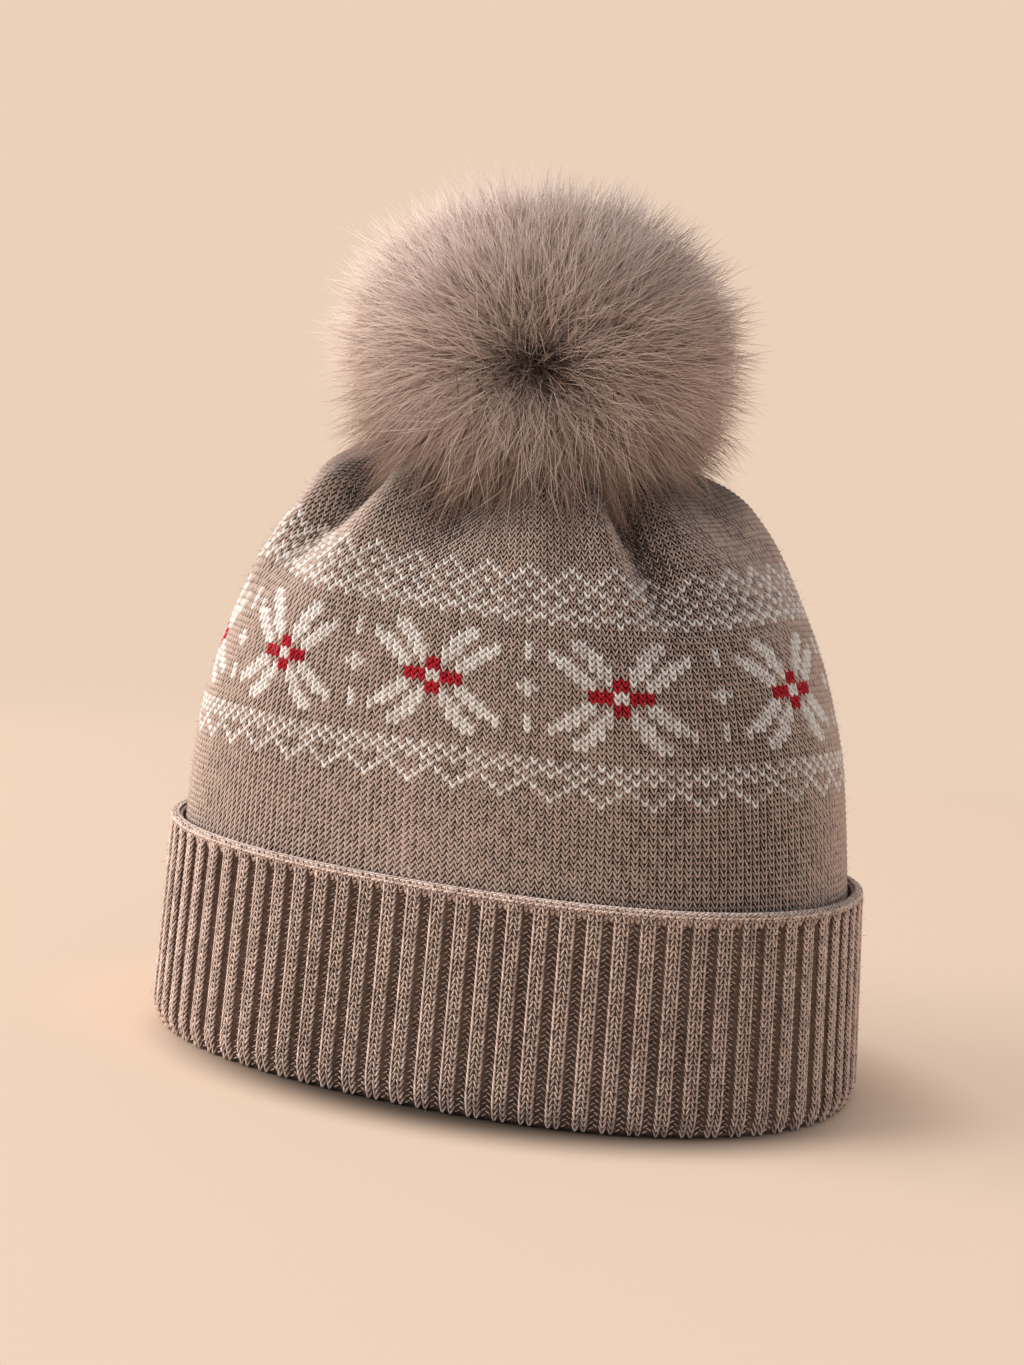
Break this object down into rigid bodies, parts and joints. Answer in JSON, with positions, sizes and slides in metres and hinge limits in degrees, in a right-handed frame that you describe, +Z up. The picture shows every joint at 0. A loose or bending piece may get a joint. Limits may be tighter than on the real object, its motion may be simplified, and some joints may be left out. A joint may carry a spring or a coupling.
{
  "type": "pompom beanie",
  "caption": "Knitted beanie standing on its folded rib cuff, with a gathered crown patterned with stars and zigzag borders, and a fur pompom on top.",
  "frame": {"origin": "centre of the oval that the cuff rests on, at the surface it stands on", "axes": "+X along the oval of the cuff, +Y across it towards the back, +Z up to the pompom"},
  "size_m": [0.2097, 0.1544, 0.2509],
  "materials": {
    "rib_knit": "matt ribbed wool knit",
    "patterned_knit": "matt melange wool knit with white and red pattern yarn",
    "fur": "soft long fur",
    "sewn_tie": "matt thread and felt"
  },
  "bodies": {
    "root": {"ribbed_cuff": "rib_knit", "knit_crown": "patterned_knit", "pompom": "fur", "pompom_tie": "sewn_tie"}
  },
  "joints": []
}
